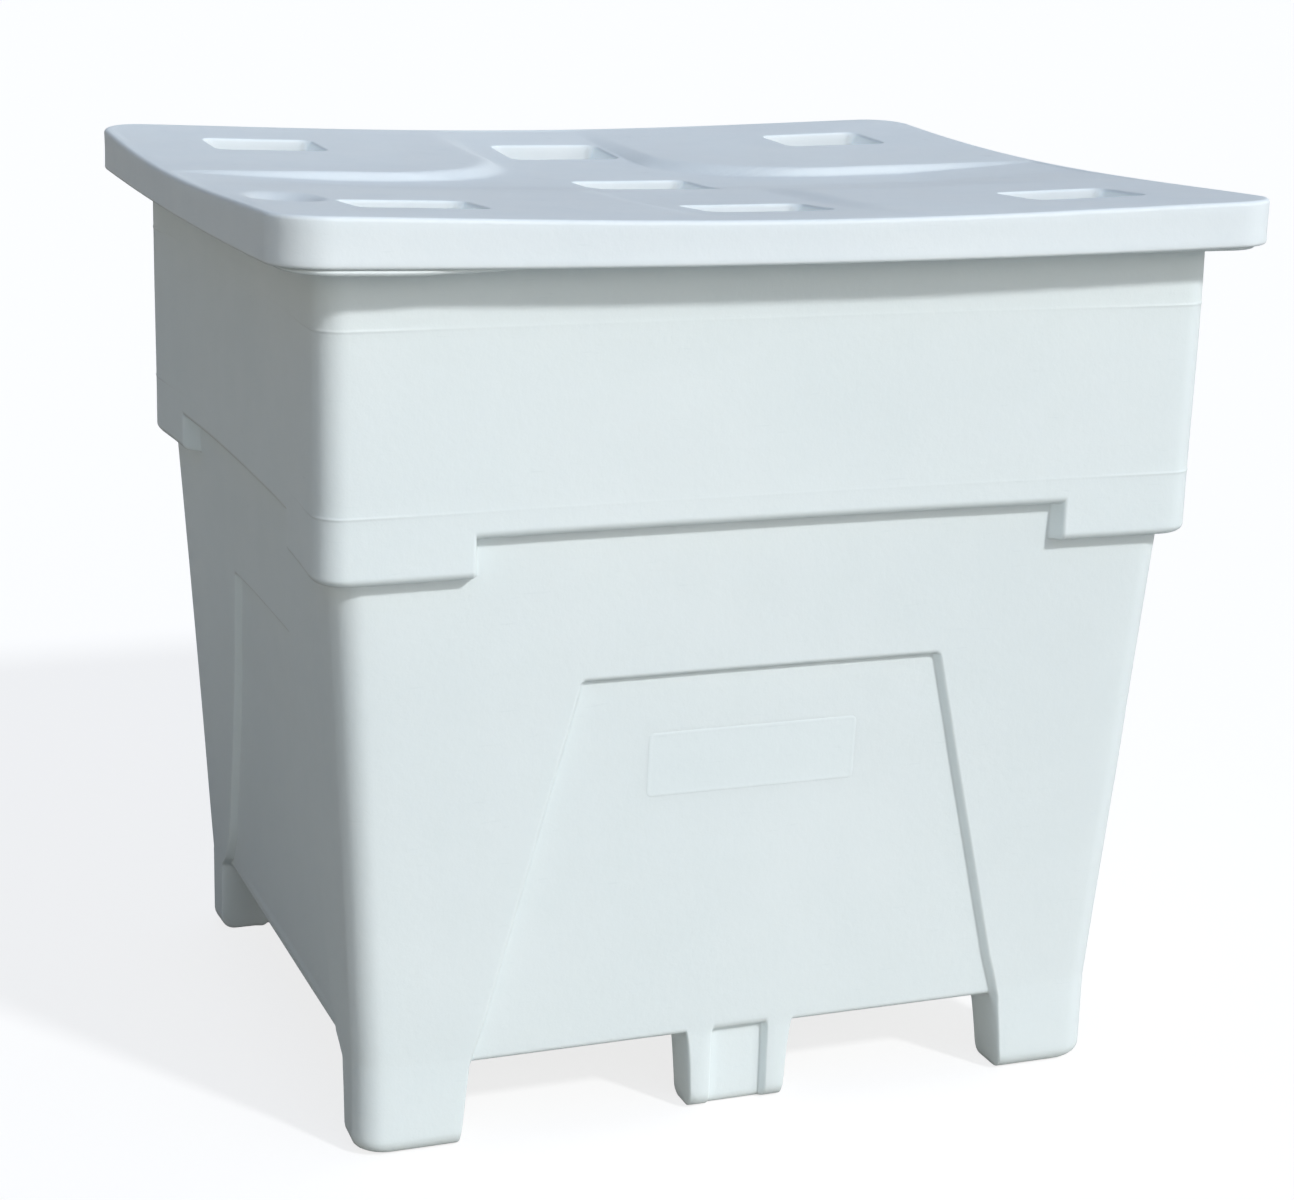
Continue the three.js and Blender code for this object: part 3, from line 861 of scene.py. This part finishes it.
def floor_material():
    """Bright to the camera, duller to other rays, and clear from below."""
    material = bpy.data.materials.new("floor_pale")
    material.use_nodes = True
    tree = material.node_tree
    bright = tree.nodes["Principled BSDF"]
    for key, setting in {
            "Base Color": (0.28, 0.282, 0.285, 1), "Roughness": 0.95, "Specular IOR Level": 0.0,
            "Emission Color": (1.0, 1.0, 1.0, 1), "Emission Strength": 0.79}.items():
        bright.inputs[key].default_value = setting
    dull = node(tree, "ShaderNodeBsdfDiffuse", {"Color": (0.41, 0.40, 0.37, 1)})
    above = split_rays(tree, bright.outputs[0], dull.outputs[0])
    below = node(tree, "ShaderNodeBsdfTransparent").outputs[0]
    backfacing = node(tree, "ShaderNodeNewGeometry").outputs["Backfacing"]
    tree.links.new(mix_shader(tree, backfacing, above, below),
                   tree.nodes["Material Output"].inputs[0])
    return material


BODY_COLOURS = {"base": (0.80, 0.875, 0.893), "dark": (0.768, 0.848, 0.868),
                "warm": (0.985, 0.988, 0.985)}
LID_COLOURS = {"base": (0.825, 0.895, 0.925), "dark": (0.78, 0.85, 0.89),
               "warm": (0.98, 0.985, 0.985)}
body_plastic = plastic("container_plastic", **BODY_COLOURS, painted_end_light=0.10)
lid_plastic = plastic("lid_plastic", **LID_COLOURS, specular=0.2, wells=True)
plaque_plastic = plastic("plaque_plastic", **BODY_COLOURS, subsurface=0.0)

# -------------------------------------------------------------------- pieces
container = make_mesh("container_shell", *build_container(), body_plastic)
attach(container, "container")
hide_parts("container")

plaque = make_mesh("blank_plaque", *build_plaque(), plaque_plastic)
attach(plaque, "container")

lid_points, lid_faces, lid_marks = build_lid()
lid = make_mesh("lid_shell", lid_points, lid_faces, lid_plastic, lid_marks)
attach(lid, "lid")
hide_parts("lid")


# --------------------------------------------------------------------- stage
def build_floor():
    half, z = 60.0, -0.0005
    material = floor_material()
    mesh = bpy.data.meshes.new("floor")
    mesh.from_pydata([(-half, -half, z), (half, -half, z), (half, half, z), (-half, half, z)],
                     [], [(0, 1, 2, 3)])
    mesh.materials.append(material)
    add_object("floor", mesh)


# colours of the light that reaches the pieces from each direction
ENV_SIDE = (0.395, 0.34, 0.25)
ENV_TOP = (0.08, 0.16, 0.295)
ENV_FRONT = (1.41, 1.385, 1.33)
ENV_BACK = (1.05, 1.03, 1.0)


def build_world():
    """White to the camera; a soft studio of four colours to all other rays."""
    world = bpy.data.worlds.new("studio")
    bpy.context.scene.world = world
    world.use_nodes = True
    tree = world.node_tree
    white = tree.nodes["Background"]
    white.inputs[0].default_value = (1.0, 1.0, 1.0, 1)
    white.inputs[1].default_value = 1.0
    direction = node(tree, "ShaderNodeTexCoord").outputs["Generated"]
    split = node(tree, "ShaderNodeSeparateXYZ", {0: direction})

    def blend_between(source, start, end):
        return map_range(tree, source, start, end, interpolation="SMOOTHSTEP")

    def towards(vector, start, end):
        dot = node(tree, "ShaderNodeVectorMath", {0: direction, 1: vector},
                   operation="DOT_PRODUCT")
        return blend_between(dot.outputs["Value"], start, end)

    front = towards((0.45, -0.89, 0.05), -0.05, 0.95)
    colour = mix_colour(tree, front, ENV_SIDE, ENV_FRONT)
    # a soft fill behind lights the far sides, but is kept out of reflections
    behind = towards((0.55, 0.83, 0.05), 0.5, 1.0)
    rays = node(tree, "ShaderNodeLightPath")
    matt = math_node(tree, "SUBTRACT", 1.0, rays.outputs["Is Glossy Ray"])
    fill = math_node(tree, "MULTIPLY", behind, matt)
    colour = mix_colour(tree, fill, colour, ENV_BACK)
    high = blend_between(split.outputs[2], 0.19, 0.78)
    colour = mix_colour(tree, high, colour, ENV_TOP)
    studio = node(tree, "ShaderNodeBackground", {0: colour, 1: 1.0})
    tree.links.new(split_rays(tree, white.outputs[0], studio.outputs[0]),
                   tree.nodes["World Output"].inputs[0])


def build_key():
    """A sun from the front right, above."""
    light = bpy.data.lights.new("key", "SUN")
    light.energy = 2.03
    light.angle = math.radians(5)
    light.color = (1.0, 0.995, 0.985)
    aim = Vector((-0.383, 0.70, -0.60))
    add_object("key", light).rotation_euler = aim.to_track_quat("-Z", "Y").to_euler()


def build_camera():
    """A long lens at the front left, looking down a little."""
    yaw, pitch, roll = 0.3641, 0.2569, 0.0268      # radians
    forward = Vector((math.sin(yaw) * math.cos(pitch), math.cos(yaw) * math.cos(pitch),
                      -math.sin(pitch)))
    level = Vector((math.cos(yaw), -math.sin(yaw), 0))
    upright = level.cross(forward)
    right = math.cos(roll) * level + math.sin(roll) * upright
    up = -math.sin(roll) * level + math.cos(roll) * upright
    data = bpy.data.cameras.new("camera")
    data.sensor_width = 36
    data.lens = 74.4732612
    data.shift_x = 0.0154559505
    data.shift_y = -0.0055641422
    data.clip_start, data.clip_end = 0.05, 200
    camera = add_object("camera", data)
    matrix = Matrix((right, up, -forward)).transposed().to_4x4()
    matrix.translation = Vector((-1.24119, -3.22869, 1.46743))
    camera.matrix_world = matrix
    bpy.context.scene.camera = camera


build_floor()
build_world()
build_key()
build_camera()
bpy.context.scene.view_settings.view_transform = "Standard"

bpy.context.view_layer.update()
